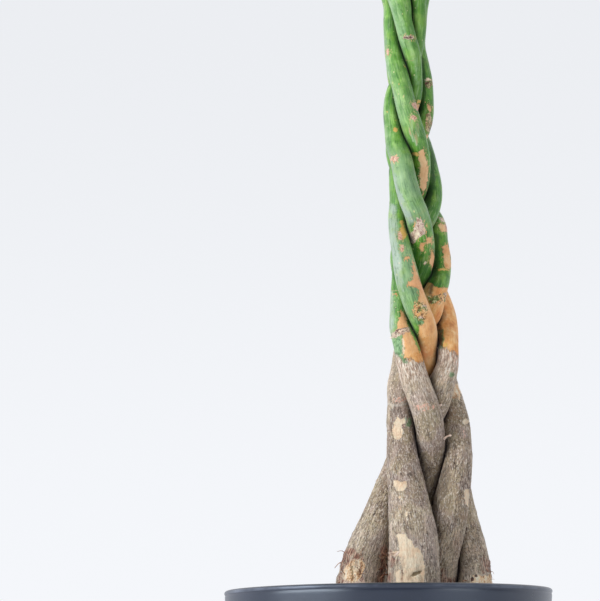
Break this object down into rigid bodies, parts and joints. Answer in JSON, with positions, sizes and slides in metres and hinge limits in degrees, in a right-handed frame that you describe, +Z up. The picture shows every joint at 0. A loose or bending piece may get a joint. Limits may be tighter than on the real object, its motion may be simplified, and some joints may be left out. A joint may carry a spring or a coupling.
{
  "type": "potted money tree",
  "caption": "Tall house plant with a plaited trunk of stems rising from a round slate-grey pot and a crown of drooping palmate leaves",
  "frame": {"origin": "centre of the pot's flat underside", "axes": "+Z up along the pot's axis, -Y the front as in the picture, +X to the right seen from the front"},
  "size_m": [0.7034, 0.616, 1.6599],
  "materials": {
    "pot": "satin slate grey, smooth, softly rounded rim",
    "soil": "dark crumbly potting soil of peat and bark bits",
    "stem_bark": "grey-brown fissured bark below, orange peeling skin in the middle, smooth green skin above",
    "leaf": "glossy mid green with a pale midrib and side veins"
  },
  "bodies": {
    "root": {"pot": "pot", "soil": "soil", "stem_A": "stem_bark", "stem_B": "stem_bark", "stem_C": "stem_bark", "stem_D": "stem_bark", "stem_E": "stem_bark", "leaf_01": "leaf", "leaf_02": "leaf", "leaf_03": "leaf", "leaf_04": "leaf", "leaf_05": "leaf", "leaf_06": "leaf", "leaf_07": "leaf", "leaf_08": "leaf", "leaf_09": "leaf", "leaf_10": "leaf", "leaf_11": "leaf", "leaf_12": "leaf", "leaf_13": "leaf", "leaf_14": "leaf", "leaf_15": "leaf", "leaf_16": "leaf", "leaf_17": "leaf", "leaf_18": "leaf", "leaf_19": "leaf", "leaf_20": "leaf", "leaf_21": "leaf", "leaf_22": "leaf", "leaf_23": "leaf", "leaf_24": "leaf", "leaf_25": "leaf", "leaf_26": "leaf", "leaf_27": "leaf", "leaf_28": "leaf", "leaf_29": "leaf", "leaf_30": "leaf", "leaf_31": "leaf", "leaf_32": "leaf", "leaf_33": "leaf", "leaf_34": "leaf"}
  },
  "joints": []
}
